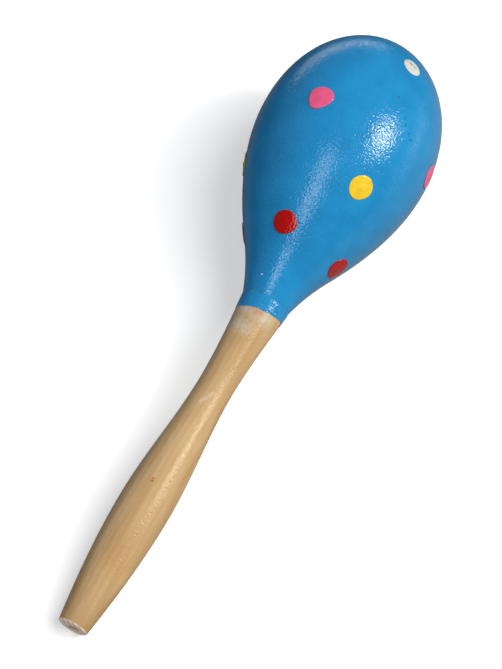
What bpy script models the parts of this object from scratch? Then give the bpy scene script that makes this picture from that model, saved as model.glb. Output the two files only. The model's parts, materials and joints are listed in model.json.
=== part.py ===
"""Painted wooden maraca, lying on its side as it rests on a table.

Built the way such a rattle is turned and put together: a hollow head made as
two turned cups glued at the widest ring, a turned handle whose tenon is glued
into a blind socket in the neck, loose pellets inside, and raised dots of enamel.

Row frame: metres, +Z up. Z = 0 is the table, the handle's butt points to -Y,
the head's crown to +Y, and the origin is under the middle of the whole box.
Turned pieces are drawn in a turning frame: +Z runs along the piece's own axis,
from the neck joint towards the crown, and +Y becomes "down" when it is laid down.
"""
import math

import bmesh
import bpy
from mathutils import Matrix, Vector

MM = 0.001

# Head: neck joint at height 0, widest ring, then a dome up to the crown.
HEAD_RADIUS = 32.2 * MM
WIDEST_HEIGHT = 65.0 * MM
CROWN_HEIGHT = 107.0 * MM
DOME_POWER = 2.1
NECK_RADIUS = 8.7 * MM
NECK_SLOPE = 0.30
FLARE_HEIGHT = 18.0 * MM
FLARE_RADIUS = 16.5 * MM
FLARE_SLOPE = 0.59
NECK_ALLOWANCE = 1.0 * MM

# Hollow of the head, and the stepped joint between its two cups.
WALL = 5.0 * MM
HOLLOW_FLOOR = 24.0 * MM
HOLLOW_RADIUS = HEAD_RADIUS - WALL
HOLLOW_TOP = CROWN_HEIGHT - WALL
TONGUE_HEIGHT = 3.0 * MM
TONGUE_THICKNESS = 2.2 * MM
GAP = 0.3 * MM

# Handle: distances down from the joint. It leans because the neck was bored askew.
HANDLE_LENGTH = 133.0 * MM
HANDLE_LEAN = math.radians(4.0)
SHOULDER_SLOPE = 0.094
WAIST_DEPTH = 35.0 * MM
WAIST_RADIUS = 6.4 * MM
SWELL_DEPTH = 84.0 * MM
SWELL_RADIUS = 9.3 * MM
BUTT_RADIUS = 5.5 * MM
BUTT_SLOPE = 0.14
BUTT_ROUNDING = 0.8 * MM
TENON_RADIUS = 5.5 * MM
TENON_LENGTH = 15.0 * MM
TENON_CHAMFER = 0.8 * MM

# Raised enamel dots: each one's height on the head in millimetres, and its azimuth
# round it in degrees, where 90 faces the table and 270 faces up.
DOT_RADIUS = 4.35 * MM
DOT_THICKNESS = 0.4 * MM
DOT_GAP = 0.2 * MM
DOT_ROWS = {
    "red": ((22.0, 82.0), (22.0, 171.0), (23.2, 263.5), (20.8, 351.5)),
    "yellow": ((44.0, 65.0), (44.0, 185.0), (43.8, 306.5)),
    "pink": ((66.0, 66.0), (66.0, 161.0), (66.0, 255.5), (66.0, 358.5)),
    "white": ((94.2, 62.0), (94.2, 186.0), (94.2, 304.5)),
}

# Loose pellets, one layer deep, in a six-sided patch on the lowest inner wall.
PELLET_RADIUS = 2.5 * MM
PELLET_PITCH = 5.8 * MM
PELLET_RINGS = 2
PELLET_CLEARANCE = 0.5 * MM

# Mesh fineness.
HEAD_STEPS = 48
HANDLE_STEPS = 32
DOT_STEPS = 16
DOT_RINGS = 2


def clear_scene():
    for item in list(bpy.data.objects):
        bpy.data.objects.remove(item, do_unlink=True)


def finish(name, hex_colour, roughness):
    """A Principled material from an sRGB hex colour."""
    material = bpy.data.materials.new(name)
    material.use_nodes = True
    shader = material.node_tree.nodes["Principled BSDF"]
    channels = [int(hex_colour[i:i + 2], 16) / 255.0 for i in (0, 2, 4)]
    linear = [c / 12.92 if c <= 0.04045 else ((c + 0.055) / 1.055) ** 2.4 for c in channels]
    shader.inputs["Base Color"].default_value = (*linear, 1.0)
    shader.inputs["Roughness"].default_value = roughness
    shader.inputs["Metallic"].default_value = 0.0
    material.diffuse_color = (*linear, 1.0)
    return material


def new_object(name, bm, material, parent=None):
    """Turns a bmesh into an object with clean, outward faces."""
    bmesh.ops.remove_doubles(bm, verts=bm.verts, dist=0.001 * MM)
    bmesh.ops.dissolve_degenerate(bm, edges=bm.edges, dist=0.001 * MM)
    bmesh.ops.recalc_face_normals(bm, faces=bm.faces)
    mesh = bpy.data.meshes.new(name)
    bm.to_mesh(mesh)
    bm.free()
    mesh.shade_smooth()
    mesh.set_sharp_from_angle(angle=math.radians(35.0))
    if material:
        mesh.materials.append(material)
    item = bpy.data.objects.new(name, mesh)
    bpy.context.collection.objects.link(item)
    item.parent = parent
    return item


def new_empty(name, parent=None):
    item = bpy.data.objects.new(name, None)
    bpy.context.collection.objects.link(item)
    item.parent = parent
    return item


def turned(name, outline, steps, material, parent):
    """Spins an outline of (radius, height) points round the Z axis.

    The outline starts half a step round, so a flat facet and not a ridge
    faces down when the piece is laid on the table.
    """
    bm = bmesh.new()
    verts = [bm.verts.new((radius, 0.0, height)) for radius, height in outline]
    edges = [bm.edges.new(pair) for pair in zip(verts, verts[1:])]
    bmesh.ops.rotate(bm, verts=verts, matrix=Matrix.Rotation(math.pi / steps, 3, "Z"))
    bmesh.ops.spin(
        bm, geom=verts + edges, cent=(0, 0, 0), axis=(0, 0, 1),
        angle=math.tau, steps=steps, use_duplicate=False,
    )
    return new_object(name, bm, material, parent)


def flowing_radius(lower, upper, z):
    """Radius at height z on a smooth line between two (height, radius, slope) stations."""
    z0, r0, s0 = lower
    z1, r1, s1 = upper
    run = z1 - z0
    t = (z - z0) / run
    return (
        r0 * (2 * t**3 - 3 * t**2 + 1) + run * s0 * (t**3 - 2 * t**2 + t)
        + r1 * (3 * t**2 - 2 * t**3) + run * s1 * (t**3 - t**2)
    )


def flowing_line(stations, steps):
    """(radius, height) points on the smooth line through all the stations."""
    points = []
    for lower, upper in zip(stations, stations[1:]):
        for step in range(steps):
            z = lower[0] + (upper[0] - lower[0]) * step / steps
            points.append((flowing_radius(lower, upper, z), z))
    points.append((stations[-1][1], stations[-1][0]))
    return points


def dome_line(radius, rise, power, steps):
    """(radius, height) points from the widest ring to the pole of a rounded cap."""
    angles = [math.pi / 2 * step / steps for step in range(steps)]
    points = [
        (radius * math.cos(a), WIDEST_HEIGHT + rise * math.sin(a) ** (2.0 / power))
        for a in angles
    ]
    return points + [(0.0, WIDEST_HEIGHT + rise)]


BOWL_STATIONS = (
    (0.0, NECK_RADIUS, NECK_SLOPE),
    (FLARE_HEIGHT, FLARE_RADIUS, FLARE_SLOPE),
    (WIDEST_HEIGHT, HEAD_RADIUS, 0.0),
)


def head_surface(height):
    """Outer radius of the head at a height, and the surface's slope there."""

    def radius_at(z):
        if z >= WIDEST_HEIGHT:
            share = (z - WIDEST_HEIGHT) / (CROWN_HEIGHT - WIDEST_HEIGHT)
            return HEAD_RADIUS * math.sqrt(1.0 - share**DOME_POWER)
        first = 1 if z >= FLARE_HEIGHT else 0
        return flowing_radius(BOWL_STATIONS[first], BOWL_STATIONS[first + 1], z)

    nudge = 0.01 * MM
    slope = (radius_at(height + nudge) - radius_at(height - nudge)) / (2 * nudge)
    return radius_at(height), slope


def make_head(enamel, parent):
    """Two turned cups: the bowl's tongue stands inside the dome's step."""
    seam = GAP / 2
    tongue_radius = HOLLOW_RADIUS + TONGUE_THICKNESS
    dome_outer = dome_line(HEAD_RADIUS, CROWN_HEIGHT - WIDEST_HEIGHT, DOME_POWER, 12)
    dome_inner = dome_line(HOLLOW_RADIUS, HOLLOW_TOP - WIDEST_HEIGHT, DOME_POWER, 9)
    step_top = WIDEST_HEIGHT + TONGUE_HEIGHT + GAP
    dome_outline = [(0.0, CROWN_HEIGHT)] + dome_outer[-2:0:-1]
    dome_outline += [
        (HEAD_RADIUS, WIDEST_HEIGHT + seam),
        (tongue_radius + GAP, WIDEST_HEIGHT + seam),
        (tongue_radius + GAP, step_top),
        (HOLLOW_RADIUS, step_top),
    ]
    dome_outline += [point for point in dome_inner if point[1] > step_top]
    turned("head_dome", dome_outline, HEAD_STEPS, enamel, parent)

    allowance_radius = NECK_RADIUS - NECK_SLOPE * NECK_ALLOWANCE
    bowl_outer = flowing_line(BOWL_STATIONS, 7)[:-1]
    bowl_inner = [
        (HOLLOW_RADIUS * math.cos(a), WIDEST_HEIGHT - (WIDEST_HEIGHT - HOLLOW_FLOOR) * math.sin(a))
        for a in [math.pi / 2 * step / 9 for step in range(9)]
    ]
    bowl_outline = [(0.0, -NECK_ALLOWANCE), (allowance_radius, -NECK_ALLOWANCE)] + bowl_outer
    bowl_outline += [
        (HEAD_RADIUS, WIDEST_HEIGHT - seam),
        (tongue_radius, WIDEST_HEIGHT - seam),
        (tongue_radius, WIDEST_HEIGHT + TONGUE_HEIGHT),
        (HOLLOW_RADIUS, WIDEST_HEIGHT + TONGUE_HEIGHT),
    ]
    bowl_outline += bowl_inner + [(0.0, HOLLOW_FLOOR)]
    return turned("head_bowl", bowl_outline, HEAD_STEPS, enamel, parent)


def bore_socket(bowl, handle_axis):
    """Faces the neck and bores its blind socket, both square to the handle's axis."""
    bore_radius = TENON_RADIUS + GAP
    facing_radius = 1.6 * NECK_RADIUS
    facing_depth = 4.0 * NECK_ALLOWANCE
    outline = [
        (0.0, TENON_LENGTH + GAP),
        (bore_radius, TENON_LENGTH + GAP),
        (bore_radius, 0.0),
        (facing_radius, 0.0),
        (facing_radius, -facing_depth),
        (0.0, -facing_depth),
    ]
    cutter = turned("socket_cutter", outline, HANDLE_STEPS, None, handle_axis)
    cutter.hide_render = True
    cutter.display_type = "WIRE"
    cut = bowl.modifiers.new("socket", "BOOLEAN")
    cut.operation = "DIFFERENCE"
    cut.object = cutter


def make_handle(wood, handle_axis):
    """Tenon, shoulder, slim waist, swelling grip and a flat butt with a rounded edge."""
    outline = [
        (0.0, TENON_LENGTH),
        (TENON_RADIUS - TENON_CHAMFER, TENON_LENGTH),
        (TENON_RADIUS, TENON_LENGTH - TENON_CHAMFER),
        (TENON_RADIUS, -GAP),
    ]
    outline += flowing_line(
        (
            (-GAP, NECK_RADIUS, SHOULDER_SLOPE),
            (-WAIST_DEPTH, WAIST_RADIUS, 0.0),
            (-SWELL_DEPTH, SWELL_RADIUS, 0.0),
            (-HANDLE_LENGTH + BUTT_ROUNDING, BUTT_RADIUS, BUTT_SLOPE),
        ),
        7,
    )
    face_radius = BUTT_RADIUS - BUTT_ROUNDING
    for step in (1, 2, 3):
        angle = math.pi / 2 * step / 3
        outline.append((
            face_radius + BUTT_ROUNDING * math.cos(angle),
            -HANDLE_LENGTH + BUTT_ROUNDING * (1.0 - math.sin(angle)),
        ))
    outline.append((0.0, -HANDLE_LENGTH))
    return turned("handle", outline, HANDLE_STEPS, wood, handle_axis)


def make_dot(name, height, azimuth, material, parent):
    """A thin lens of enamel that follows the head's surface."""
    _, slope = head_surface(height)
    along = 1.0 / math.sqrt(1.0 + slope**2)

    def on_head(distance, angle, lift):
        z = height + distance * math.cos(angle) * along
        radius, local_slope = head_surface(z)
        turn = azimuth + distance * math.sin(angle) / radius
        outward = Vector((math.cos(turn), math.sin(turn), -local_slope)).normalized()
        return Vector((radius * math.cos(turn), radius * math.sin(turn), z)) + outward * lift

    def ring(share, lift):
        return [
            bm.verts.new(on_head(share * DOT_RADIUS, math.tau * step / DOT_STEPS, lift))
            for step in range(DOT_STEPS)
        ]

    def bridge(inner, outer):
        for step in range(DOT_STEPS):
            after = (step + 1) % DOT_STEPS
            bm.faces.new((inner[step], outer[step], outer[after], inner[after]))

    bm = bmesh.new()
    rim = ring(1.0, DOT_GAP)
    for thickness in (0.0, DOT_THICKNESS):
        outer = rim
        for index in range(DOT_RINGS - 1, 0, -1):
            share = index / DOT_RINGS
            inner = ring(share, DOT_GAP + thickness * math.sqrt(1.0 - share**2))
            bridge(inner, outer)
            outer = inner
        centre = bm.verts.new(on_head(0.0, 0.0, DOT_GAP + thickness))
        for step in range(DOT_STEPS):
            bm.faces.new((centre, outer[step], outer[(step + 1) % DOT_STEPS]))
    return new_object(name, bm, material, parent)


def world_points(item):
    """The evaluated mesh's vertices in world space."""
    bpy.context.view_layer.update()
    evaluated = item.evaluated_get(bpy.context.evaluated_depsgraph_get())
    mesh = evaluated.to_mesh()
    points = [evaluated.matrix_world @ vertex.co for vertex in mesh.vertices]
    evaluated.to_mesh_clear()
    return points


def lay_down(frame, head_pieces, handle, all_pieces):
    """Tips the turning frame until widest ring and butt both touch the table."""
    butt = [p for p in world_points(handle) if p.z < -HANDLE_LENGTH / 2]
    head = [p for piece in head_pieces for p in world_points(piece)]
    tilt = min(
        max(math.atan2(high.y - low.y, high.z - low.z) for high in head)
        for low in butt
    )
    frame.rotation_euler.x = tilt - math.pi / 2
    points = [p for piece in all_pieces for p in world_points(piece)]
    low = [min(p[i] for p in points) for i in range(3)]
    high = [max(p[i] for p in points) for i in range(3)]
    frame.location = (-(low[0] + high[0]) / 2, -(low[1] + high[1]) / 2, -low[2])
    bpy.context.view_layer.update()
    return tilt


def in_hollow(point, frame):
    """Whether a pellet centred at a world point is clear of the hollow's walls."""
    local = frame.matrix_world.inverted() @ point
    margin = PELLET_RADIUS + PELLET_CLEARANCE
    above = local.z > WIDEST_HEIGHT
    reach = (HOLLOW_TOP - WIDEST_HEIGHT if above else WIDEST_HEIGHT - HOLLOW_FLOOR) - margin
    share = abs(local.z - WIDEST_HEIGHT) / reach
    if share >= 1.0:
        return False
    power = DOME_POWER if above else 2.0
    widest = (HOLLOW_RADIUS - margin) * math.sqrt(1.0 - share**power)
    return math.hypot(local.x, local.y) < widest


def last_clear_height(x, y, start, direction, frame):
    """Height at which a pellet moving straight up or down meets the wall."""
    clear, blocked = 0.0, 2.0 * HOLLOW_RADIUS
    for _ in range(40):
        middle = (clear + blocked) / 2
        if in_hollow(Vector((x, y, start + direction * middle)), frame):
            clear = middle
        else:
            blocked = middle
    return start + direction * clear


def make_pellets(material, frame, tilt):
    """Pellets in a six-sided patch; each one's travel is a straight throw to the far wall."""
    depth = WIDEST_HEIGHT - HOLLOW_FLOOR
    sag = depth**2 * math.sin(tilt) / math.hypot(depth * math.sin(tilt), HOLLOW_RADIUS * math.cos(tilt))
    lowest_spot = frame.matrix_world @ Vector((0.0, HOLLOW_RADIUS, WIDEST_HEIGHT - sag))
    mid_height = (frame.matrix_world @ Vector((0.0, 0.0, WIDEST_HEIGHT - sag))).z
    spots = [
        (PELLET_PITCH * (i + j / 2), PELLET_PITCH * j * math.sqrt(3.0) / 2)
        for j in range(-PELLET_RINGS, PELLET_RINGS + 1)
        for i in range(-PELLET_RINGS, PELLET_RINGS + 1)
        if abs(i + j) <= PELLET_RINGS
    ]
    for number, (across, along) in enumerate(spots, start=1):
        x, y = lowest_spot.x + across, lowest_spot.y + along
        lowest = last_clear_height(x, y, mid_height, -1.0, frame)
        highest = last_clear_height(x, y, mid_height, 1.0, frame)
        bm = bmesh.new()
        bmesh.ops.create_icosphere(bm, subdivisions=2, radius=PELLET_RADIUS)
        pellet = new_object(f"pellet_{number:02d}", bm, material)
        pellet.location = (x, y, lowest)
        pellet["travel"] = highest - lowest


def main():
    clear_scene()
    enamel = finish("blue_enamel", "2390CE", 0.22)
    wood = finish("lacquered_wood", "C8A573", 0.38)
    bead = finish("pellet", "D9CFAE", 0.6)
    dot_finishes = {
        "red": finish("red_enamel", "BE1410", 0.2),
        "yellow": finish("yellow_enamel", "FAD71E", 0.2),
        "pink": finish("pink_enamel", "EB5096", 0.2),
        "white": finish("white_enamel", "E4E7DC", 0.2),
    }
    turning_frame = new_empty("turning_frame")
    handle_axis = new_empty("handle_axis", turning_frame)
    handle_axis.rotation_euler.y = HANDLE_LEAN

    bowl = make_head(enamel, turning_frame)
    bore_socket(bowl, handle_axis)
    handle = make_handle(wood, handle_axis)
    for colour, places in DOT_ROWS.items():
        for number, (height, azimuth) in enumerate(places, start=1):
            make_dot(
                f"dot_{colour}_{number}", height * MM, math.radians(azimuth),
                dot_finishes[colour], turning_frame,
            )

    pieces = [o for o in bpy.data.objects if o.type == "MESH" and not o.hide_render]
    head_pieces = [o for o in pieces if o.name.startswith("head_")]
    tilt = lay_down(turning_frame, head_pieces, handle, pieces)
    make_pellets(bead, turning_frame, tilt)


main()
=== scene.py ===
import json
import math
import random

import bpy
from mathutils import Matrix, Vector


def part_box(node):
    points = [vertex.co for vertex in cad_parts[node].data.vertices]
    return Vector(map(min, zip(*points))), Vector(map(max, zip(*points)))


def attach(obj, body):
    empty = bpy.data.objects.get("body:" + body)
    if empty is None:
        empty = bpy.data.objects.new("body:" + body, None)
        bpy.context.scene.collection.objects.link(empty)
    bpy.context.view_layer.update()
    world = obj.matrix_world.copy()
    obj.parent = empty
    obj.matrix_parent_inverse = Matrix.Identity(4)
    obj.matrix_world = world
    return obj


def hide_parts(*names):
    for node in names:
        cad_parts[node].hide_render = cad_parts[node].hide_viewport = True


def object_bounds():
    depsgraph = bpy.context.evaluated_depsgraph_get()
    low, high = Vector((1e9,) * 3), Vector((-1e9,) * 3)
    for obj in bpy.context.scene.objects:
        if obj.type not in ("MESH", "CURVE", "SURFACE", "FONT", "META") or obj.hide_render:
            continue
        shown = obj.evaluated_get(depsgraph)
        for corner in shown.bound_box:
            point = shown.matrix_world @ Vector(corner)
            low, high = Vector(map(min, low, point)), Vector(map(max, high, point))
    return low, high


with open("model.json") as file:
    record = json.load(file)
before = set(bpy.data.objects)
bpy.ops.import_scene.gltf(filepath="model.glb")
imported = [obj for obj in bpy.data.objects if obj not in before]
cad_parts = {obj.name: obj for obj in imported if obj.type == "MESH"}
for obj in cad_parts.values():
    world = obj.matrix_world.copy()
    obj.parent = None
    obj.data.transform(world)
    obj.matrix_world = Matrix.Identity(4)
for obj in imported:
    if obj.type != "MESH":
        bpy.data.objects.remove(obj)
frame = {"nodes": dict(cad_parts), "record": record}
cad_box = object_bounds()

# ---------------------------------------------------------------------------------------------
# How the maraca lies: on its side, on the head's widest ring and the butt's lower edge.
# Each turned piece is made upright, +Z up its own axis from the glue joint, and laid down last;
# the handle leans a little in the neck, because the socket was bored askew.
MM = 0.001
HANDLE_LENGTH = 133 * MM
butt_face = frame["record"]["mounts"][0]
handle_axis = -Vector(butt_face["axis"]).normalized()
joint = Vector(butt_face["pos_m"]) + handle_axis * HANDLE_LENGTH
tilt = math.atan2(handle_axis.z, handle_axis.y)
lean = math.asin(handle_axis.x)
head_place = Matrix.Translation(joint) @ Matrix.Rotation(tilt - math.pi / 2, 4, "X")
handle_place = head_place @ Matrix.Rotation(lean, 4, "Y")
BODY = "shell_and_handle"


# ---------------------------------------------------------------------------------------------
# Lower cup of the head: a hollow hardwood bowl with the neck, turned in one piece, its rim
# stepped to take the upper cup. Blue enamel was brushed on outside as it spun; inside is bare.
HEAD_RADIUS = 32.2 * MM
CROWN_STEPS = 26
HOLLOW_STEPS = 20
WIDEST_HEIGHT = 65 * MM
CROWN_HEIGHT = 107 * MM
DOME_POWER = 2.1
WALL = 5 * MM
HOLLOW_RADIUS = HEAD_RADIUS - WALL
HOLLOW_FLOOR = 24 * MM
TONGUE_HEIGHT = 3 * MM
TONGUE_RADIUS = HOLLOW_RADIUS + 2.2 * MM
SOCKET_RADIUS = 5.8 * MM
SOCKET_DEPTH = 15.3 * MM
NECK_RADIUS = 8.7 * MM
NECK_SLOPE = 0.30
NECK_ALLOWANCE = 1 * MM
# Stations of a turned outline: height, radius, and how fast the radius grows with the height.
HEAD_STATIONS = (
    (0, NECK_RADIUS, NECK_SLOPE),
    (18 * MM, 16.5 * MM, 0.59),
    (WIDEST_HEIGHT, HEAD_RADIUS, 0),
)


def radius_between(lower, upper, height):
    """Radius at a height on the smooth line between two (height, radius, slope) stations."""
    run = upper[0] - lower[0]
    t = (height - lower[0]) / run
    return (
        lower[1] * (2 * t**3 - 3 * t**2 + 1) + run * lower[2] * (t**3 - 2 * t**2 + t)
        + upper[1] * (3 * t**2 - 2 * t**3) + run * upper[2] * (t**3 - t**2)
    )


def stations_line(stations, spacing):
    """(radius, height) points along the smooth line through the stations, ends included."""
    points = []
    for lower, upper in zip(stations, stations[1:]):
        count = math.ceil(abs(upper[0] - lower[0]) / spacing)
        heights = [lower[0] + (upper[0] - lower[0]) * step / count for step in range(count)]
        points += [(radius_between(lower, upper, height), height) for height in heights]
    return points + [(stations[-1][1], stations[-1][0])]


def rounded_line(radius, rise, power, count):
    """(radius, height) points from the widest ring to the pole of a rounded end."""
    turns = [math.pi / 2 * step / count for step in range(count)]
    points = [
        (radius * math.cos(a), WIDEST_HEIGHT + rise * math.sin(a) ** (2 / power)) for a in turns
    ]
    return points + [(0, WIDEST_HEIGHT + rise)]


def select_only(piece):
    bpy.ops.object.select_all(action="DESELECT")
    piece.select_set(True)
    bpy.context.view_layer.objects.active = piece


def turn(name, outline, corners=(), segments=96):
    """Draws a turned piece out of one circle, ring after ring, along (radius, height) points.

    A radius of 0 at either end closes the piece there; corners are the rings that stay sharp.
    """
    rings = [point for point in outline if point[0] > 0]
    bpy.ops.object.select_all(action="DESELECT")
    bpy.ops.mesh.primitive_circle_add(vertices=segments, radius=rings[0][0])
    piece = bpy.context.object
    piece.name = name
    bpy.ops.object.mode_set(mode="EDIT")
    bpy.ops.mesh.select_all(action="SELECT")
    bpy.ops.transform.translate(value=(0, 0, rings[0][1]))
    for before, after in zip([rings[0]] + rings, rings):
        if after is not rings[0]:
            rise = (0, 0, after[1] - before[1])
            bpy.ops.mesh.extrude_region_move(TRANSFORM_OT_translate={"value": rise})
            share = after[0] / before[0]
            bpy.ops.transform.resize(value=(share, share, 1))
        if after in corners:
            bpy.ops.transform.edge_crease(value=1)
    for pole, ring in ((outline[-1], rings[-1]), (outline[0], rings[0])):
        if pole[0] == 0:
            rise = (0, 0, pole[1] - ring[1])
            bpy.ops.mesh.extrude_region_move(TRANSFORM_OT_translate={"value": rise})
            bpy.ops.mesh.merge(type="CENTER")
            bpy.ops.mesh.select_all(action="DESELECT")
            bpy.ops.mesh.select_non_manifold()
    bpy.ops.mesh.select_all(action="SELECT")
    bpy.ops.mesh.normals_make_consistent(inside=False)
    bpy.ops.object.mode_set(mode="OBJECT")
    return piece


def apply_modifier(piece, kind, **settings):
    """Adds a modifier with its settings and applies it at once."""
    select_only(piece)
    modifier = piece.modifiers.new(kind.lower(), kind)
    for name, value in settings.items():
        setattr(modifier, name, value)
    bpy.ops.object.modifier_apply(modifier=modifier.name)


def lay_down(piece, place):
    """Puts an upright piece in its place and writes that place into its mesh."""
    select_only(piece)
    piece.matrix_world = place
    bpy.ops.object.transform_apply(location=True, rotation=True, scale=True)
    bpy.ops.object.shade_smooth_by_angle(angle=math.radians(35))


def linear(hex_colour):
    """An sRGB hex colour as the linear colour that a shader takes."""
    channels = [int(hex_colour[i:i + 2], 16) / 255 for i in (0, 2, 4)]
    return [c / 12.92 if c <= 0.04045 else ((c + 0.055) / 1.055) ** 2.4 for c in channels] + [1]


def connect(material, node, inputs):
    """Fills a node's inputs; each is given as a value, or as the socket to link to it."""
    for name, value in inputs.items():
        if isinstance(value, bpy.types.NodeSocket):
            material.node_tree.links.new(value, node.inputs[name])
        else:
            node.inputs[name].default_value = value


def add(material, kind, inputs=None, **settings):
    """Adds a node and returns its first live output; settings are the node's own properties."""
    node = material.node_tree.nodes.new("ShaderNode" + kind)
    for name, value in settings.items():
        setattr(node, name, value)
    connect(material, node, inputs or {})
    return next(socket for socket in node.outputs if socket.enabled)


def new_material(name, place):
    """A material, its Principled shader, and positions in the upright frame of the piece."""
    material = bpy.data.materials.new(name)
    material.use_nodes = True
    shader = material.node_tree.nodes["Principled BSDF"]
    on_object = add(material, "TexCoord").node.outputs["Object"]
    position = add(
        material, "Mapping",
        {"Vector": on_object, "Location": place.translation, "Rotation": place.to_euler()},
        vector_type="TEXTURE",
    )
    return material, shader, position


def rounds(material, position, length, width):
    """Noise drawn out round the axis, as a brush or a tool leaves it on a spinning piece."""
    flat = add(material, "VectorMath", {0: position, 1: (1, 1, 0)}, operation="MULTIPLY")
    outward = add(material, "VectorMath", {0: flat}, operation="NORMALIZE")
    rise = add(material, "VectorMath", {0: position, 1: (0, 0, 1 / width)}, operation="MULTIPLY")
    wrapped = add(
        material, "VectorMath", {0: outward, 1: (HEAD_RADIUS / length,) * 3, 2: rise},
        operation="MULTIPLY_ADD",
    )
    return add(material, "TexNoise", {"Vector": wrapped, "Scale": 1.0, "Detail": 2.0})


def spots(material, position, places, solid=0.1):
    """1 on each (point, radius) and 0 away from it, with a ragged edge.

    The noise is about 0.5, so a spot ends near 0.8 of its radius and is whole inside 0.3 + solid
    of it. A solid of -0.3 leaves nothing but soft edge.
    """
    wobble = add(material, "TexNoise", {"Vector": position, "Scale": 1 / (0.9 * MM), "Detail": 1.0})
    total = 0.0
    for point, radius in places:
        away = add(material, "VectorMath", {0: position, 1: point}, operation="DISTANCE")
        ragged = add(material, "Math", {0: wobble, 1: -radius, 2: away}, operation="MULTIPLY_ADD")
        here = add(
            material, "MapRange",
            {"Value": ragged, "From Min": 0.3 * radius, "From Max": (solid - 0.2) * radius},
        )
        total = add(material, "Math", {0: here, 1: total}, operation="MAXIMUM")
    return total


def head_radius(height):
    """Radius of the head's outside at a height above the joint."""
    if height >= WIDEST_HEIGHT:
        share = (height - WIDEST_HEIGHT) / (CROWN_HEIGHT - WIDEST_HEIGHT)
        return HEAD_RADIUS * math.sqrt(1 - share**DOME_POWER)
    first = 0 if height < HEAD_STATIONS[1][0] else 1
    return radius_between(HEAD_STATIONS[first], HEAD_STATIONS[first + 1], height)


def round_axis(radius, azimuth, height):
    """A point round a piece's axis; azimuth in degrees, of which 90 faces the table and 270 up."""
    turned_to = math.radians(azimuth)
    return Vector((radius * math.cos(turned_to), radius * math.sin(turned_to), height))


def on_head(height, azimuth):
    """A point on the head's surface: millimetres above the joint, degrees round the axis."""
    return round_axis(head_radius(height * MM), azimuth, height * MM)


def brushed_enamel():
    """Gloss alkyd enamel, brushed: the eye gets a deep even blue, and highlights that break up
    into fine speckle, because the thin coat follows the wood's pores and the brush's rounds."""
    material, shader, position = new_material("brushed_blue_enamel", head_place)
    cloudy = add(material, "TexNoise", {"Vector": position, "Scale": 1 / (9 * MM), "Detail": 3.0})
    strokes = rounds(material, position, 60 * MM, 0.8 * MM)
    shade = add(material, "Math", {0: strokes, 1: 0.25, 2: cloudy}, operation="MULTIPLY_ADD")
    depth = add(material, "MapRange", {"Value": shade, "From Min": 0.4, "From Max": 0.85})
    colour = add(
        material, "Mix", {0: depth, 6: linear("1977AE"), 7: linear("1E82BB")}, data_type="RGBA",
    )
    for places, hex_colour in ((DULL_SPECKS, "1B628F"), (WHITE_NIBS, "E8EEF0")):
        there = spots(material, position, places)
        colour = add(
            material, "Mix", {0: there, 6: colour, 7: linear(hex_colour)}, data_type="RGBA",
        )
    peel = add(material, "TexNoise", {"Vector": position, "Scale": 1 / (0.75 * MM), "Detail": 1.0})
    height = add(material, "SeparateXYZ", {"Vector": position}).node.outputs["Z"]
    near_neck = add(
        material, "MapRange",
        {"Value": height, "From Min": 14 * MM, "From Max": 0, "To Min": 0.02, "To Max": 1.3},
    )
    relief = add(material, "Math", {0: strokes, 1: near_neck, 2: peel}, operation="MULTIPLY_ADD")
    normal = add(material, "Bump", {"Height": relief, "Distance": 0.15 * MM, "Strength": 1.0})
    gloss = add(
        material, "MapRange",
        {"Value": peel, "From Min": 0.3, "From Max": 0.7, "To Min": 0.07, "To Max": 0.15},
    )
    connect(material, shader, {"Base Color": colour, "Roughness": gloss, "Normal": normal, "IOR": 1.5})
    return material


# Dull specks in the coat, and one white nib of dust near the neck.
DULL_SPECKS = [
    (on_head(78.8, 300), 0.8 * MM), (on_head(68, 320), 0.9 * MM), (on_head(71.2, 312), 0.8 * MM),
    (on_head(71.5, 296), 0.5 * MM), (on_head(69.6, 317), 0.7 * MM), (on_head(73.4, 310), 0.6 * MM),
]
WHITE_NIBS = [(on_head(5.8, 251), 0.3 * MM)]
enamel = brushed_enamel()


def bare_wood():
    """Bare turned hardwood: pale and matt, with rounds left by the tool inside the hollow."""
    material, shader, position = new_material("bare_turned_hardwood", head_place)
    tool = rounds(material, position, 20 * MM, 0.8 * MM)
    colour = add(
        material, "Mix", {0: tool, 6: linear("B89A6C"), 7: linear("D3B98C")}, data_type="RGBA",
    )
    normal = add(material, "Bump", {"Height": tool, "Distance": 0.1 * MM})
    connect(material, shader, {"Base Color": colour, "Normal": normal, "Roughness": 0.7})
    return material


raw_wood = bare_wood()


def paint_outside(piece):
    """Enamel on the outer skin, bare wood on every face inside it."""
    piece.data.materials.append(enamel)
    piece.data.materials.append(raw_wood)
    skin = 0.3 * MM
    for face in piece.data.polygons:
        height = min(max(face.center.z, 0), CROWN_HEIGHT - 0.01 * MM)
        from_axis = math.hypot(face.center.x, face.center.y)
        above_skin = face.center.z > CROWN_HEIGHT - WALL / 2
        face.material_index = 0 if above_skin or from_axis > head_radius(height) - skin else 1


neck_line = stations_line(HEAD_STATIONS, 2 * MM)
below_neck = (NECK_RADIUS - NECK_SLOPE * NECK_ALLOWANCE, -NECK_ALLOWANCE)
rim = (HEAD_RADIUS, WIDEST_HEIGHT)
rim_step = [
    (TONGUE_RADIUS, WIDEST_HEIGHT),
    (TONGUE_RADIUS, WIDEST_HEIGHT + TONGUE_HEIGHT),
    (HOLLOW_RADIUS, WIDEST_HEIGHT + TONGUE_HEIGHT),
]
hollow = rounded_line(HOLLOW_RADIUS, HOLLOW_FLOOR - WIDEST_HEIGHT, 2, HOLLOW_STEPS)
bowl = turn("lower_cup", [below_neck] + neck_line[:-1] + [rim] + rim_step + hollow, [rim] + rim_step)
apply_modifier(bowl, "SUBSURF", levels=1, render_levels=1)

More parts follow.
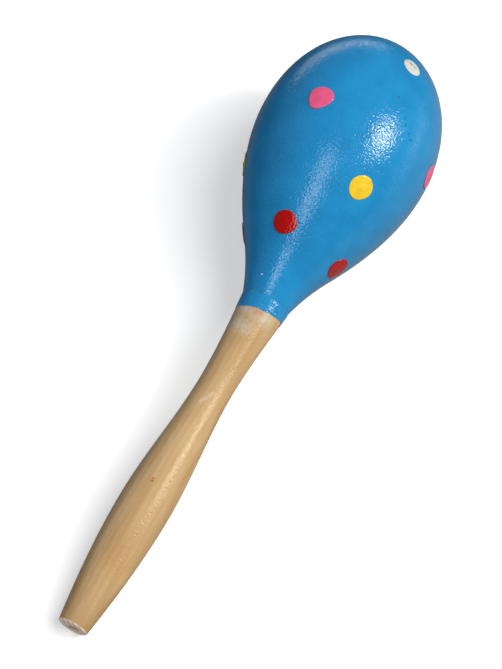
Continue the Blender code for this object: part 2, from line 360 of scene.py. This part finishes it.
# The neck is faced square to the handle, and its blind socket bored from that face.
bpy.ops.object.mode_set(mode="EDIT")
bpy.ops.mesh.select_all(action="SELECT")
square = (math.sin(lean), 0, math.cos(lean))
bpy.ops.mesh.bisect(plane_co=(0, 0, 0), plane_no=square, clear_inner=True, use_fill=True)
bpy.ops.mesh.inset(thickness=NECK_RADIUS - SOCKET_RADIUS)
bore = Vector(square) * SOCKET_DEPTH
bpy.ops.mesh.extrude_region_move(TRANSFORM_OT_translate={"value": bore})
bpy.ops.object.mode_set(mode="OBJECT")
paint_outside(bowl)
lay_down(bowl, head_place)
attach(bowl, BODY)
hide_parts("head_bowl")


# ---------------------------------------------------------------------------------------------
# Upper cup of the head: the same wood and wall, closed by the crown. Its step fits over the
# lower cup's tongue, and the glued joint at the widest ring was filled and painted over.
crown_rise = CROWN_HEIGHT - WIDEST_HEIGHT
crown_line = rounded_line(HEAD_RADIUS, crown_rise, DOME_POWER, CROWN_STEPS)
dome_hollow = rounded_line(HOLLOW_RADIUS, crown_rise - WALL, DOME_POWER, HOLLOW_STEPS)
FIT = 0.1 * MM
step_top = WIDEST_HEIGHT + TONGUE_HEIGHT + FIT
dome_step = [
    (TONGUE_RADIUS + FIT, WIDEST_HEIGHT),
    (TONGUE_RADIUS + FIT, step_top),
    (HOLLOW_RADIUS, step_top),
]
dome_outline = crown_line[:0:-1] + [rim] + dome_step
dome_outline += [point for point in dome_hollow if point[1] > step_top + 1 * MM]
dome = turn("upper_cup", dome_outline, [rim] + dome_step)
apply_modifier(dome, "SUBSURF", levels=1, render_levels=1)
paint_outside(dome)
lay_down(dome, head_place)
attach(dome, BODY)
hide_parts("head_dome")


# ---------------------------------------------------------------------------------------------
# Handle: one turned length of pale hardwood, its tenon glued in the neck, sanded on the lathe
# and dipped in clear lacquer. It narrows to a waist, swells into the grip and ends sawn square.
TENON_RADIUS = 5.5 * MM
TENON_LENGTH = 15 * MM
TENON_CHAMFER = 0.8 * MM
SHOULDER_GAP = 0.3 * MM
BUTT_RADIUS = 5.5 * MM
BUTT_ROUNDING = 0.8 * MM
HANDLE_STATIONS = (
    (-SHOULDER_GAP, NECK_RADIUS, 0.094),
    (-35 * MM, 6.4 * MM, 0),
    (-84 * MM, 9.3 * MM, 0),
    (-HANDLE_LENGTH + BUTT_ROUNDING, BUTT_RADIUS, 0.14),
)


def handle_radius(height):
    """Radius of the handle at a height, which is 0 at the joint and negative towards the butt."""
    for upper, lower in zip(HANDLE_STATIONS, HANDLE_STATIONS[1:]):
        if height >= lower[0]:
            return radius_between(upper, lower, height)
    return BUTT_RADIUS


def on_handle(depth, azimuth):
    """A point on the handle: millimetres down from the joint, degrees round the axis."""
    return round_axis(handle_radius(-depth * MM), azimuth, -depth * MM)


def drawn_out(material, position, across, along):
    """Positions scaled so that a pattern is across wide and along long, on the handle's axis."""
    return add(
        material, "VectorMath", {0: position, 1: (1 / across, 1 / across, 1 / along)},
        operation="MULTIPLY",
    )


def growth_rings(material, position):
    """Waves round a pith that lies well outside the handle, 2.2 mm from ring to ring."""
    pith = add(material, "Mapping", {"Vector": position, "Location": (-16 * MM, 7 * MM, 0)})
    ring_wave = 2 * math.pi / 20 / (2.2 * MM)
    return add(
        material, "TexWave",
        {"Vector": pith, "Scale": ring_wave, "Distortion": 1.2, "Detail": 2.0, "Detail Scale": 0.6},
        wave_type="RINGS", rings_direction="Z",
    ).node.outputs["Fac"]


def side_grain(material, position, fibre, growth):
    """Colour along the handle: pale and dark bands with fibres in them, and a warmer mottle."""
    banding = drawn_out(material, position, 5 * MM, 45 * MM)
    band = add(material, "TexNoise", {"Vector": banding, "Scale": 1.0, "Detail": 2.0})
    light = add(material, "Math", {0: fibre, 1: 0.22, 2: band}, operation="MULTIPLY_ADD")
    light = add(material, "Math", {0: growth, 1: 0.1, 2: light}, operation="MULTIPLY_ADD")
    share = add(material, "MapRange", {"Value": light, "From Min": 0.36, "From Max": 0.96})
    colour = add(
        material, "Mix", {0: share, 6: linear("A28054"), 7: linear("BDA17B")}, data_type="RGBA",
    )
    mottle = add(material, "TexNoise", {"Vector": banding, "Scale": 2.3, "Detail": 1.0})
    warm = add(
        material, "MapRange",
        {"Value": mottle, "From Min": 0.52, "From Max": 0.8, "To Max": 0.35},
    )
    return add(
        material, "Mix", {0: warm, 6: colour, 7: linear("A8763F")}, data_type="RGBA",
    )


def end_grain(material, position, fibre, growth):
    """Colour of the sawn butt: wood much paler than the side, partly painted light on the face,
    with its growth rings on edge, stained at the heart.
    """
    share = add(material, "Math", {0: growth, 1: 0.45, 2: fibre}, operation="MULTIPLY_ADD")
    share = add(material, "MapRange", {"Value": share, "From Min": 0.4, "From Max": 0.95})
    colour = add(
        # These pale end-grain tones are partly painted light on the sawn face.
        material, "Mix", {0: share, 6: linear("CDB29C"), 7: linear("EFE0D6")}, data_type="RGBA",
    )
    heart = spots(material, position, BUTT_STAINS, -0.1)
    return add(
        material, "Mix", {0: heart, 6: colour, 7: linear("A47650")}, data_type="RGBA",
    )


def lacquered_hardwood():
    """Pale diffuse-porous hardwood under thin clear lacquer: fine grain along the handle, faint
    growth rings, and a soft broken streak of light, since sanding left marks across the grain."""
    material, shader, position = new_material("clear_lacquered_hardwood", handle_place)
    # Fibres are finer than this in the real wood; they are drawn 0.3 mm wide so that they show.
    fibres = drawn_out(material, position, 0.3 * MM, 9 * MM)
    fibre = add(material, "TexNoise", {"Vector": fibres, "Scale": 1.0, "Detail": 3.0})
    growth = growth_rings(material, position)
    colour = side_grain(material, position, fibre, growth)
    height = add(material, "SeparateXYZ", {"Vector": position}).node.outputs["Z"]
    # The wood darkens over its last 21 mm towards the butt.
    toward_butt = add(
        material, "MapRange",
        {"Value": height, "From Min": -112 * MM, "From Max": -HANDLE_LENGTH, "To Max": 0.48},
    )
    colour = add(
        material, "Mix", {0: toward_butt, 6: colour, 7: linear("8D6E47")}, data_type="RGBA",
    )
    for places, hex_colour, strength, solid in WOOD_MARKS:
        there = spots(material, position, places, solid)
        there = add(material, "Math", {0: there, 1: strength}, operation="MULTIPLY")
        colour = add(
            material, "Mix", {0: there, 6: colour, 7: linear(hex_colour)}, data_type="RGBA",
        )
    sawn = add(
        material, "MapRange",
        {
            "Value": height, "From Min": -HANDLE_LENGTH + 0.6 * MM,
            "From Max": -HANDLE_LENGTH + 0.2 * MM,
        },
    )
    sawn_colour = end_grain(material, position, fibre, growth)
    colour = add(material, "Mix", {0: sawn, 6: colour, 7: sawn_colour}, data_type="RGBA")
    sanding = rounds(material, position, 4 * MM, 0.8 * MM)
    normal = add(material, "Bump", {"Height": sanding, "Distance": 0.135 * MM, "Strength": 1.0})
    gloss = add(
        material, "MapRange",
        {"Value": sanding, "From Min": 0.3, "From Max": 0.7, "To Min": 0.26, "To Max": 0.37},
    )
    connect(material, shader, {"Base Color": colour, "Roughness": gloss, "Normal": normal, "IOR": 1.44})
    return material


# Marks in the wood: a brown pin knot with its tail, a worn grey bloom by the neck, which on the
# upper right side is a painted sheen, a dry scratch and warm stains. WOOD_MARKS gives their
# places, colour, strength and solid share.
KNOT = [(on_handle(77.5, 270), 1 * MM), (on_handle(76.7, 270.5), 0.8 * MM)]
# The grey bloom is a real smear on the upper left; its spots at 286 and 306 degrees are painted sheen
# where the lacquer catches the light.
BLOOM_AND_SHEEN_ROWS = ((2, (224, 244, 264)), (7, (226, 246, 266, 286, 306)), (13, (234, 250, 266)))
BLOOM_AND_SHEEN = [
    (on_handle(depth, azimuth), 5.5 * MM) for depth, azimuths in BLOOM_AND_SHEEN_ROWS for azimuth in azimuths
]
SCRATCH = [(on_handle(44 - 0.5 * step, 267 + 2.2 * step), 1.3 * MM) for step in range(10)]
STAINS = [
    (on_handle(5.8, 266), 1.8 * MM), (on_handle(6.8, 276), 2.4 * MM), (on_handle(6.6, 287), 2 * MM),
    (on_handle(131.5, 332), 1.8 * MM),
]
WOOD_MARKS = (
    (BLOOM_AND_SHEEN, "B4B5B0", 0.55, -0.3),
    (STAINS, "A8672E", 0.55, -0.2),
    (SCRATCH, "D8D0C4", 0.36, -0.4),
    (KNOT, "8A4F1C", 0.75, -0.1),
)
BUTT_STAINS = [
    (Vector((1.2 * MM, -0.6 * MM, -HANDLE_LENGTH)), 2.4 * MM),
    (Vector((-0.8 * MM, 0.8 * MM, -HANDLE_LENGTH)), 1.6 * MM),
]
wood = lacquered_hardwood()

tenon_corners = [
    (TENON_RADIUS - TENON_CHAMFER, TENON_LENGTH),
    (TENON_RADIUS, TENON_LENGTH - TENON_CHAMFER),
    (TENON_RADIUS, -SHOULDER_GAP),
]
shoulder = (NECK_RADIUS, -SHOULDER_GAP)
grip_line = stations_line(HANDLE_STATIONS, 2.5 * MM)
BUTT_STEPS = 4
butt_turns = [math.pi / 2 * step / BUTT_STEPS for step in range(1, BUTT_STEPS + 1)]
butt_edge = [
    (
        BUTT_RADIUS - BUTT_ROUNDING * (1 - math.cos(a)),
        -HANDLE_LENGTH + BUTT_ROUNDING * (1 - math.sin(a)),
    )
    for a in butt_turns
]
handle_outline = [(0, TENON_LENGTH)] + tenon_corners + [shoulder] + grip_line[1:] + butt_edge
handle_outline += [(BUTT_RADIUS / 2, -HANDLE_LENGTH), (0, -HANDLE_LENGTH)]
handle = turn("lacquered_handle", handle_outline, tenon_corners + [shoulder], segments=64)
apply_modifier(handle, "SUBSURF", levels=2, render_levels=2)
handle.data.materials.append(wood)
lay_down(handle, handle_place)
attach(handle, BODY)
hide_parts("handle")


# ---------------------------------------------------------------------------------------------
# Enamel carried over the joint: the head's blue runs on down the handle's shoulder as a thin
# film, cut off by the brush in a line that leans and wavers. A hairline shows above it.
FILM = 0.1 * MM
FILM_GRIP = 0.03 * MM
FILM_TOP = -0.08 * MM
FILM_EDGE = -5.5 * MM
FILM_EDGE_LEAN = math.radians(8.4)
FILM_EDGE_TURN = math.radians(6.7)
FILM_STEP = 0.8 * MM
FILM_STEPS = 11
# Where the brush strayed: azimuth in degrees, and millimetres further down the handle.
FILM_STRAYS = (
    (236, 0.2), (262, -0.1), (290, 0.25), (318, 0.25), (20, 0.3), (80, -0.4), (140, 0.35),
)
STRAY_REACH = 3.5 * MM
# To the right the film's upper edge rises and closes the gap to the neck.
CLOSED_AZIMUTH = 330
CLOSED_RISE = 0.12 * MM
CLOSED_REACH = 11 * MM


def pull(piece, at, move, reach, falloff="SMOOTH", connected=False):
    """Drags the vertex nearest to a place along, and the skin within reach of it with it."""
    place = piece.matrix_world
    nearest = min(piece.data.vertices, key=lambda vertex: (place @ vertex.co - at).length)
    for part in (piece.data.vertices, piece.data.edges, piece.data.polygons):
        part.foreach_set("select", [False] * len(part))
    nearest.select = True
    bpy.ops.object.mode_set(mode="EDIT")
    bpy.ops.transform.translate(
        value=move, use_proportional_edit=True, use_proportional_connected=connected,
        proportional_edit_falloff=falloff, proportional_size=reach,
    )
    bpy.ops.object.mode_set(mode="OBJECT")


film_heights = [FILM_TOP - FILM_STEP * step for step in range(FILM_STEPS)]
film_line = [(handle_radius(height) + FILM, height) for height in film_heights]
film = turn("shoulder_enamel", film_line, segments=96)
bpy.ops.object.mode_set(mode="EDIT")
bpy.ops.mesh.select_all(action="SELECT")
edge_normal = Vector((
    math.sin(FILM_EDGE_LEAN) * -math.cos(FILM_EDGE_TURN),
    math.sin(FILM_EDGE_LEAN) * -math.sin(FILM_EDGE_TURN),
    math.cos(FILM_EDGE_LEAN),
))
bpy.ops.mesh.bisect(plane_co=(0, 0, FILM_EDGE), plane_no=edge_normal, clear_inner=True)
bpy.ops.object.mode_set(mode="OBJECT")
for azimuth, further in FILM_STRAYS:
    edge_point = round_axis(handle_radius(FILM_EDGE), azimuth, 0)
    edge_point.z = FILM_EDGE - edge_normal.dot(edge_point) / edge_normal.z
    pull(film, edge_point, (0, 0, -further * MM), STRAY_REACH)
top_point = round_axis(handle_radius(FILM_TOP), CLOSED_AZIMUTH, 0)
pull(film, top_point, (0, 0, CLOSED_RISE), CLOSED_REACH)
apply_modifier(film, "SOLIDIFY", thickness=FILM + FILM_GRIP, offset=-1)
apply_modifier(film, "SUBSURF", levels=1, render_levels=1)
film.data.materials.append(enamel)
lay_down(film, handle_place)
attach(film, BODY)


# ---------------------------------------------------------------------------------------------
# Raised dots: drops of thick gloss enamel, dabbed on by hand in four rows round the head. Each
# spread a little differently, so no outline is a true circle, and each dried with a round edge.
DOT_RADIUS = 4.35 * MM
DOT_SIDES = 32
DOT_RINGS = 4
DOT_RISE = 0.3 * MM
DOT_SINK = 0.05 * MM
DOT_EDGE = 0.35 * MM
DOT_CROWN = 0.1 * MM
SPREAD_REACH = 1.1
PIP_REACH = 0.45
# Of each colour: its hex, its drops' share of the full radius, and how far their middle stands up.
DOT_KINDS = {
    "red": ("A60602", 1.0, 0.1 * MM),
    "yellow": ("DDB92A", 1.0, 0.34 * MM),
    "pink": ("DE5885", 1.0, 0.1 * MM),
    "white": ("C9CDC7", 0.83, 0.1 * MM),
}

# Row by row: height in millimetres, azimuth in degrees, and how the drop spread, as pairs of
# direction (0 points round the head, 90 at the crown) and millimetres pulled out or drawn in.
DOTS = {
    "red": (
        (22.0, 82.0, None),
        (22.0, 171.0, None),
        (23.2, 263.5, ((300, -0.35), (60, -0.1))),
        (20.8, 351.5, ((120, 0.2), (250, -0.2))),
    ),
    "yellow": (
        (44.0, 65.0, None),
        (44.0, 185.0, None),
        (43.8, 306.5, ((80, 0.3), (320, -0.35), (260, 0.2))),
    ),
    "pink": (
        (66.0, 66.0, None),
        (66.0, 161.0, None),
        (66.0, 255.5, ((20, 0.4), (250, 0.5), (160, 0.35), (310, -0.35), (205, -0.2))),
        (66.0, 358.5, ((90, 0.2),)),
    ),
    "white": (
        (94.2, 62.0, None),
        (94.2, 186.0, None),
        (94.2, 304.5, ((90, 0.2), (200, -0.2))),
    ),
}
# Marks on a colour's drops: height, azimuth and radius in millimetres, and what shows there.
DOT_MARKS = {
    "red": (((19.6, 350.5, 1.5), (18.8, 353, 1.1)), "4A3216"),
    "white": (((95.7, 298, 1.5), (95.1, 303, 1.5), (94.5, 307, 1.1)), "8A8FA2"),
}
DEEP_COLOUR = (0.02, 0.015, 0.01, 1)
SPREADS = 4
hand = random.Random(7)


def drop_enamel(name, hex_colour):
    """Thick gloss enamel dried from a drop: one strong colour, a wet-looking top that wavers a
    little, and a cloudy, slightly deeper colour where the coat lies thicker."""
    material, shader, position = new_material(f"{name}_drop_enamel", head_place)
    cloudy = add(material, "TexNoise", {"Vector": position, "Scale": 1 / (2.5 * MM), "Detail": 2.0})
    depth = add(
        material, "MapRange", {"Value": cloudy, "From Min": 0.35, "From Max": 0.65, "To Max": 0.12},
    )
    colour = add(
        material, "Mix", {0: depth, 6: linear(hex_colour), 7: DEEP_COLOUR}, data_type="RGBA",
    )
    if name in DOT_MARKS:
        marks, mark_colour = DOT_MARKS[name]
        places = [(on_head(height, azimuth), radius * MM) for height, azimuth, radius in marks]
        there = spots(material, position, places, -0.1)
        colour = add(
            material, "Mix", {0: there, 6: colour, 7: linear(mark_colour)}, data_type="RGBA",
        )
    waver = add(material, "TexNoise", {"Vector": position, "Scale": 1 / (0.8 * MM), "Detail": 1.0})
    normal = add(material, "Bump", {"Height": waver, "Distance": 0.12 * MM})
    gloss = add(
        material, "MapRange",
        {"Value": cloudy, "From Min": 0.3, "From Max": 0.7, "To Min": 0.08, "To Max": 0.16},
    )
    connect(material, shader, {"Base Color": colour, "Roughness": gloss, "Normal": normal, "IOR": 1.5})
    return material


def drop(name, radius, pip, height, azimuth, spread):
    """One dot: a filled circle pulled out of round, laid on the head, then raised and rounded."""
    bpy.ops.object.select_all(action="DESELECT")
    bpy.ops.mesh.primitive_circle_add(vertices=DOT_SIDES, radius=radius, fill_type="NGON")
    piece = bpy.context.object
    piece.name = name
    bpy.ops.object.mode_set(mode="EDIT")
    bpy.ops.mesh.select_all(action="SELECT")
    for _ in range(DOT_RINGS):
        bpy.ops.mesh.inset(thickness=radius / (DOT_RINGS + 1.5))
    bpy.ops.mesh.poke()
    bpy.ops.object.mode_set(mode="OBJECT")
    for direction, stretch in spread:
        at = round_axis(1, direction, 0)
        pull(piece, at * radius, at * stretch * MM, SPREAD_REACH * radius)
    point = on_head(height, azimuth)
    upward = on_head(height + 0.1, azimuth) - on_head(height - 0.1, azimuth)
    round_head = round_axis(1, azimuth + 90, 0)
    upward.normalize()
    outward = round_head.cross(upward)
    facing = Matrix((round_head, upward, outward)).transposed().to_4x4()
    piece.matrix_world = head_place @ Matrix.Translation(point + outward * 3 * MM) @ facing
    apply_modifier(
        piece, "SHRINKWRAP", target=bowl, auxiliary_target=dome, wrap_method="PROJECT",
        use_negative_direction=True, use_positive_direction=False, use_project_z=True,
    )
    bpy.ops.object.mode_set(mode="EDIT")
    bpy.ops.mesh.select_all(action="SELECT")
    bpy.ops.transform.shrink_fatten(value=-DOT_SINK)
    bpy.ops.mesh.extrude_region_shrink_fatten(TRANSFORM_OT_shrink_fatten={"value": DOT_RISE})
    bpy.ops.mesh.inset(thickness=DOT_EDGE)
    bpy.ops.transform.shrink_fatten(value=DOT_CROWN)
    bpy.ops.mesh.select_all(action="SELECT")
    bpy.ops.mesh.normals_make_consistent(inside=False)
    bpy.ops.object.mode_set(mode="OBJECT")
    # The middle is drawn up where the brush left it.
    above_middle = head_place @ (point + outward * 2 * MM)
    rise = head_place.to_3x3() @ outward * pip
    pull(piece, above_middle, rise, PIP_REACH * radius, connected=True)
    apply_modifier(piece, "SUBSURF", levels=2, render_levels=2)
    lay_down(piece, piece.matrix_world.copy())
    return piece


for colour_name, places in DOTS.items():
    hex_colour, share, pip = DOT_KINDS[colour_name]
    drop_finish = drop_enamel(colour_name, hex_colour)
    for number, (height, azimuth, spread) in enumerate(places, start=1):
        if spread is None:
            spread = [(hand.uniform(0, 360), hand.uniform(-0.4, 0.5)) for _ in range(SPREADS)]
        radius = DOT_RADIUS * share
        dot = drop(f"{colour_name}_drop_{number}", radius, pip, height, azimuth, spread)
        dot.data.materials.append(drop_finish)
        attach(dot, BODY)
        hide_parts(f"dot_{colour_name}_{number}")


# ---------------------------------------------------------------------------------------------
# Pellets: dried seeds, loose in the hollow, which make the sound. Each is a little flattened,
# with a dimple where it grew on its stalk, and lies its own way up.
SEED_RADIUS = 2.4 * MM
SEED_SHARES = (1.0, 0.96, 0.88)
SEED_DIMPLE = 0.5 * MM
DIMPLE_REACH = 1.3 * MM
bpy.ops.object.select_all(action="DESELECT")
bpy.ops.mesh.primitive_ico_sphere_add(subdivisions=3, radius=SEED_RADIUS)
seed = bpy.context.object
bpy.ops.object.mode_set(mode="EDIT")
bpy.ops.mesh.select_all(action="SELECT")
bpy.ops.transform.resize(value=SEED_SHARES)
bpy.ops.object.mode_set(mode="OBJECT")
pull(seed, Vector((0, 0, SEED_RADIUS)), (0, 0, -SEED_DIMPLE), DIMPLE_REACH, falloff="SHARP")


def seed_coat():
    """Dry seed coat: straw coloured, matt, finely wrinkled, with brown freckles."""
    material, shader, position = new_material("dry_seed_coat", Matrix.Identity(4))
    freckle = add(material, "TexNoise", {"Vector": position, "Scale": 1 / (0.9 * MM), "Detail": 4.0})
    share = add(material, "MapRange", {"Value": freckle, "From Min": 0.45, "From Max": 0.7})
    colour = add(
        material, "Mix", {0: share, 6: linear("D9CFAE"), 7: linear("8A6A42")}, data_type="RGBA",
    )
    wrinkle = add(material, "TexNoise", {"Vector": position, "Scale": 1 / (0.4 * MM), "Detail": 3.0})
    normal = add(material, "Bump", {"Height": wrinkle, "Distance": 0.08 * MM})
    connect(material, shader, {"Base Color": colour, "Normal": normal, "Roughness": 0.6})
    return material


seed.data.materials.append(seed_coat())
for node in sorted(name for name in frame["nodes"] if name.startswith("pellet_")):
    low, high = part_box(node)
    pellet = seed.copy()
    pellet.data = seed.data.copy()
    pellet.name = node.replace("pellet", "seed")
    bpy.context.collection.objects.link(pellet)
    spin = Matrix.Rotation(hand.uniform(0, math.tau), 4, "Z")
    roll = Matrix.Rotation(hand.uniform(0, math.pi), 4, "X")
    lay_down(pellet, Matrix.Translation((low + high) / 2) @ spin @ roll)
    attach(pellet, node)
    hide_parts(node)
bpy.data.objects.remove(seed)


# ---------------------------------------------------------------------------------------------
# Table, lamps and camera: a sheet of white card under a large softbox to the maraca's right,
# with dim fills from its left and from the butt's end, and smaller lamps for the highlights.
def matt_white():
    """White card, evenly matt: the camera sees it nearly burnt out with a light shadow, while it
    throws a dimmer light back at the maraca: a painted pool of light, grey round the maraca and
    fading to dark with the distance."""
    material, shader, position = new_material("matt_white_card", Matrix.Identity(4))
    pool_edge_wobble = add(material, "TexNoise", {"Vector": position, "Scale": 1 / (60 * MM), "Detail": 2.0})
    # Painted pool of light: to reflected and bounced rays the card is grey round LIT_MIDDLE and dark
    # beyond twice LIT_REACH, its edge wobbled by noise.
    away = add(material, "VectorMath", {0: position, 1: LIT_MIDDLE}, operation="DISTANCE")
    reach = add(material, "Math", {0: pool_edge_wobble, 1: 40 * MM, 2: away}, operation="MULTIPLY_ADD")
    fade = add(
        material, "MapRange", {"Value": reach, "From Min": LIT_REACH, "From Max": 2 * LIT_REACH},
        interpolation_type="SMOOTHSTEP",
    )
    painted_light_pool = add(
        material, "Mix", {0: fade, 6: linear("8C8C8C"), 7: linear("303030")}, data_type="RGBA",
    )
    seen = add(material, "LightPath").node.outputs["Is Camera Ray"]
    colour = add(
        material, "Mix", {0: seen, 6: painted_light_pool, 7: linear("D8D8D8")}, data_type="RGBA",
    )
    lift = add(material, "Math", {0: seen, 1: CARD_LIFT}, operation="MULTIPLY")
    connect(material, shader, {
        "Base Color": colour, "Roughness": 1.0, "Specular IOR Level": 0.0,
        "Emission Color": (1, 1, 1, 1), "Emission Strength": lift,
    })
    return material


CARD_LIFT = 0.46
# Middle and reach of the card's painted pool of light.
LIT_MIDDLE = (100 * MM, 20 * MM, 0)
LIT_REACH = 130 * MM
bpy.ops.object.select_all(action="DESELECT")
bpy.ops.mesh.primitive_plane_add(size=12)
table = bpy.context.object
table.name = "table"
table.data.materials.append(matt_white())

middle = (cad_box[0] + cad_box[1]) / 2


def softbox(name, azimuth, elevation, wide, high, brightness, away=2.0):
    """A flat oval lamp that faces the maraca; azimuth from +X towards +Y, angles in degrees.

    Its power is worked out from its size, so that it is equally bright from any distance.
    """
    toward = Vector((
        math.cos(math.radians(elevation)) * math.cos(math.radians(azimuth)),
        math.cos(math.radians(elevation)) * math.sin(math.radians(azimuth)),
        math.sin(math.radians(elevation)),
    ))
    bpy.ops.object.light_add(type="AREA", location=middle + toward * away)
    lamp = bpy.context.object
    lamp.name = name
    lamp.rotation_mode = "QUATERNION"
    lamp.rotation_quaternion = toward.to_track_quat("Z", "Y")
    lamp.data.shape = "ELLIPSE"
    lamp.data.size = 2 * away * math.tan(math.radians(wide) / 2)
    lamp.data.size_y = 2 * away * math.tan(math.radians(high) / 2)
    lamp.data.energy = brightness * math.pi**2 / 4 * lamp.data.size * lamp.data.size_y
    lamp.visible_camera = False
    return lamp


# The large lamp and the two fills light the maraca and the card but don't show in its gloss; the
# long overhead lamp and the low strips show only there, and the small warm one does both.
NEAR = 0.35
sparkle_lamp = softbox("sparkle_softbox", 19.5, 39.5, 14, 24, 20.5)
sparkle_lamp.data.color = (1.0, 0.95, 0.75)
overhead_lamp = softbox("overhead_softbox", -88, 60, 14, 40, 4.6)
overhead_lamp.visible_diffuse = False
main_lamp = softbox("main_softbox", 9, 56, 43, 43, 7.0)
main_lamp.visible_glossy = False
butt_lamp = softbox("butt_softbox", 266, -2, 30, 6, 14.0, away=NEAR)
butt_lamp.visible_glossy = False
left_lamp = softbox("left_softbox", 178, 28, 40, 30, 2.9)
left_lamp.visible_glossy = False
left_lamp.data.color = (0.88, 0.93, 1.0)
for side, azimuth, brightness in (("back", 118, 2.7), ("right", 36, 1.6)):
    low_lamp = softbox(f"low_{side}_softbox", azimuth, -2, 50, 6.5, brightness, away=NEAR)
    low_lamp.visible_diffuse = False

world = bpy.data.worlds.new("studio")
bpy.context.scene.world = world
world.use_nodes = True
world.node_tree.nodes["Background"].inputs["Color"].default_value = (1, 1, 1, 1)
world.node_tree.nodes["Background"].inputs["Strength"].default_value = 0.12
bpy.context.scene.view_settings.view_transform = "Standard"

CAMERA_AZIMUTH = math.radians(25.4)
CAMERA_ELEVATION = math.radians(60.28)
CAMERA_DISTANCE = 1.4
LENS = 218.55
AIM_RIGHT = -4.97 * MM
AIM_UP = -10.64 * MM
back = Vector((
    math.sin(CAMERA_AZIMUTH) * math.cos(CAMERA_ELEVATION),
    -math.cos(CAMERA_AZIMUTH) * math.cos(CAMERA_ELEVATION),
    math.sin(CAMERA_ELEVATION),
))
right = Vector((math.cos(CAMERA_AZIMUTH), math.sin(CAMERA_AZIMUTH), 0))
up = back.cross(right)
aim = joint + right * AIM_RIGHT + up * AIM_UP
bpy.ops.object.camera_add(location=aim + back * CAMERA_DISTANCE)
camera = bpy.context.object
camera.rotation_mode = "QUATERNION"
camera.rotation_quaternion = Matrix((right, up, back)).transposed().to_quaternion()
camera.data.lens = LENS
camera.data.clip_start = 0.01
camera.data.clip_end = 50
bpy.context.scene.camera = camera
